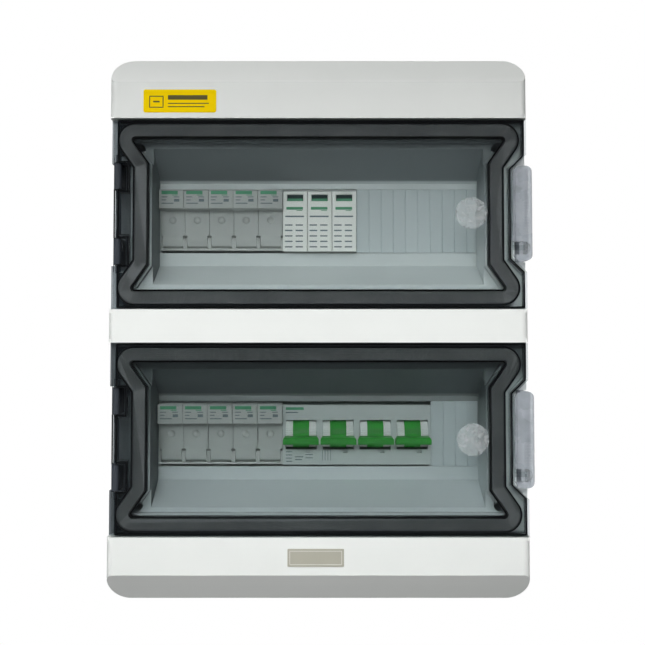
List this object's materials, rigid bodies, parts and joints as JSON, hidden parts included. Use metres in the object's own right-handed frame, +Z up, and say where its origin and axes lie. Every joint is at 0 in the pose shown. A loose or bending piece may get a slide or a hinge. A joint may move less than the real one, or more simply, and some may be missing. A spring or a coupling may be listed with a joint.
{
  "type": "dc combiner box",
  "caption": "Wall-mounted plastic combiner box with two smoke-tinted hinged doors, side latches, and rows of fuse holders, surge cartridges and a tied-handle breaker.",
  "frame": {"origin": "centre of the flat back face that sits on the wall", "axes": "+Z up, +X to the right seen from the front, +Y into the wall; the doors face -Y"},
  "size_m": [0.2933, 0.121, 0.38],
  "materials": {
    "casing_plastic": "satin moulded",
    "inner_plastic": "satin moulded",
    "seal_foam": "matte foam",
    "zinc_steel": "zinc plated",
    "label_yellow": "printed vinyl",
    "badge_beige": "satin foil",
    "smoke_clear": "smoke tinted polycarbonate",
    "frosted_clear": "frosted polycarbonate",
    "device_plastic": "satin moulded",
    "dark_plastic": "smoke moulded",
    "drum_white": "satin moulded",
    "ceramic_white": "glazed ceramic with metal caps",
    "handle_green": "gloss moulded",
    "flag_green": "matte",
    "copper_metal": "tinned copper",
    "cable_red": "cable sheath",
    "cable_black": "cable sheath",
    "cable_earth_green": "cable sheath"
  },
  "bodies": {
    "enclosure": {"blank_strip_lower": "inner_plastic", "blank_strip_upper": "inner_plastic", "box_seal": "seal_foam", "breaker_case": "device_plastic", "busbars": "copper_metal", "cable_earth": "cable_earth_green", "cable_negative": "cable_black", "cable_positive": "cable_red", "cover_screws": "zinc_steel", "din_rail_lower": "zinc_steel", "din_rail_upper": "zinc_steel", "earth_bar": "copper_metal", "front_cover": "casing_plastic", "fuse_bases_lower": "device_plastic", "fuse_bases_upper": "device_plastic", "fuse_clips": "copper_metal", "hazard_label": "label_yellow", "hinge_lugs": "dark_plastic", "name_badge": "badge_beige", "pivot_pins": "zinc_steel", "rail_screws": "zinc_steel", "rear_box": "casing_plastic", "surge_base": "device_plastic", "terminal_screws": "zinc_steel"},
    "upper_door": {"upper_door": "smoke_clear", "upper_door_seal": "seal_foam", "upper_door_dot": "frosted_clear"},
    "lower_door": {"lower_door": "smoke_clear", "lower_door_seal": "seal_foam", "lower_door_dot": "frosted_clear"},
    "upper_latch": {"upper_latch": "frosted_clear"},
    "lower_latch": {"lower_latch": "frosted_clear"},
    "breaker_handles": {"breaker_toggles": "handle_green", "toggle_drums": "drum_white"},
    "carrier_1": {"fuse_carrier_1": "device_plastic", "fuse_link_1": "ceramic_white"},
    "carrier_2": {"fuse_carrier_2": "device_plastic", "fuse_link_2": "ceramic_white"},
    "carrier_3": {"fuse_carrier_3": "device_plastic", "fuse_link_3": "ceramic_white"},
    "carrier_4": {"fuse_carrier_4": "device_plastic", "fuse_link_4": "ceramic_white"},
    "carrier_5": {"fuse_carrier_5": "device_plastic", "fuse_link_5": "ceramic_white"},
    "carrier_6": {"fuse_carrier_6": "device_plastic", "fuse_link_6": "ceramic_white"},
    "carrier_7": {"fuse_carrier_7": "device_plastic", "fuse_link_7": "ceramic_white"},
    "carrier_8": {"fuse_carrier_8": "device_plastic", "fuse_link_8": "ceramic_white"},
    "carrier_9": {"fuse_carrier_9": "device_plastic", "fuse_link_9": "ceramic_white"},
    "carrier_10": {"fuse_carrier_10": "device_plastic", "fuse_link_10": "ceramic_white"},
    "cartridge_1": {"surge_cartridge_1": "device_plastic", "surge_flag_1": "flag_green"},
    "cartridge_2": {"surge_cartridge_2": "device_plastic", "surge_flag_2": "flag_green"},
    "cartridge_3": {"surge_cartridge_3": "device_plastic", "surge_flag_3": "flag_green"}
  },
  "joints": [
    {"name": "upper_door_hinge", "type": "hinge", "parent": "enclosure", "child": "upper_door", "pos_m": [-0.14, -0.115, 0.078], "axis": [0, 0, -1], "range_deg": [0, 115]},
    {"name": "upper_latch_pivot", "type": "hinge", "parent": "enclosure", "child": "upper_latch", "pos_m": [0.1415, -0.0975, 0.078], "axis": [0, 0, 1], "range_deg": [0, 75]},
    {"name": "lower_door_hinge", "type": "hinge", "parent": "enclosure", "child": "lower_door", "pos_m": [-0.14, -0.115, -0.078], "axis": [0, 0, -1], "range_deg": [0, 115]},
    {"name": "lower_latch_pivot", "type": "hinge", "parent": "enclosure", "child": "lower_latch", "pos_m": [0.1415, -0.0975, -0.078], "axis": [0, 0, 1], "range_deg": [0, 75]},
    {"name": "carrier_1_pivot", "type": "hinge", "parent": "enclosure", "child": "carrier_1", "pos_m": [-0.10705, -0.0704, 0.0624], "axis": [1, 0, 0], "range_deg": [0, 75]},
    {"name": "carrier_2_pivot", "type": "hinge", "parent": "enclosure", "child": "carrier_2", "pos_m": [-0.08905, -0.0704, 0.0624], "axis": [1, 0, 0], "range_deg": [0, 75]},
    {"name": "carrier_3_pivot", "type": "hinge", "parent": "enclosure", "child": "carrier_3", "pos_m": [-0.07105, -0.0704, 0.0624], "axis": [1, 0, 0], "range_deg": [0, 75]},
    {"name": "carrier_4_pivot", "type": "hinge", "parent": "enclosure", "child": "carrier_4", "pos_m": [-0.05305, -0.0704, 0.0624], "axis": [1, 0, 0], "range_deg": [0, 75]},
    {"name": "carrier_5_pivot", "type": "hinge", "parent": "enclosure", "child": "carrier_5", "pos_m": [-0.03505, -0.0704, 0.0624], "axis": [1, 0, 0], "range_deg": [0, 75]},
    {"name": "carrier_6_pivot", "type": "hinge", "parent": "enclosure", "child": "carrier_6", "pos_m": [-0.10705, -0.0704, -0.0936], "axis": [1, 0, 0], "range_deg": [0, 75]},
    {"name": "carrier_7_pivot", "type": "hinge", "parent": "enclosure", "child": "carrier_7", "pos_m": [-0.08905, -0.0704, -0.0936], "axis": [1, 0, 0], "range_deg": [0, 75]},
    {"name": "carrier_8_pivot", "type": "hinge", "parent": "enclosure", "child": "carrier_8", "pos_m": [-0.07105, -0.0704, -0.0936], "axis": [1, 0, 0], "range_deg": [0, 75]},
    {"name": "carrier_9_pivot", "type": "hinge", "parent": "enclosure", "child": "carrier_9", "pos_m": [-0.05305, -0.0704, -0.0936], "axis": [1, 0, 0], "range_deg": [0, 75]},
    {"name": "carrier_10_pivot", "type": "hinge", "parent": "enclosure", "child": "carrier_10", "pos_m": [-0.03505, -0.0704, -0.0936], "axis": [1, 0, 0], "range_deg": [0, 75]},
    {"name": "cartridge_1_slide", "type": "slide", "parent": "enclosure", "child": "cartridge_1", "axis": [0, -1, 0], "range_m": [0, 0.03]},
    {"name": "cartridge_2_slide", "type": "slide", "parent": "enclosure", "child": "cartridge_2", "axis": [0, -1, 0], "range_m": [0, 0.03]},
    {"name": "cartridge_3_slide", "type": "slide", "parent": "enclosure", "child": "cartridge_3", "axis": [0, -1, 0], "range_m": [0, 0.03]},
    {"name": "handle_pivot", "type": "hinge", "parent": "enclosure", "child": "breaker_handles", "pos_m": [0.028, -0.0705, -0.0784], "axis": [-1, 0, 0], "range_deg": [0, 55]}
  ]
}
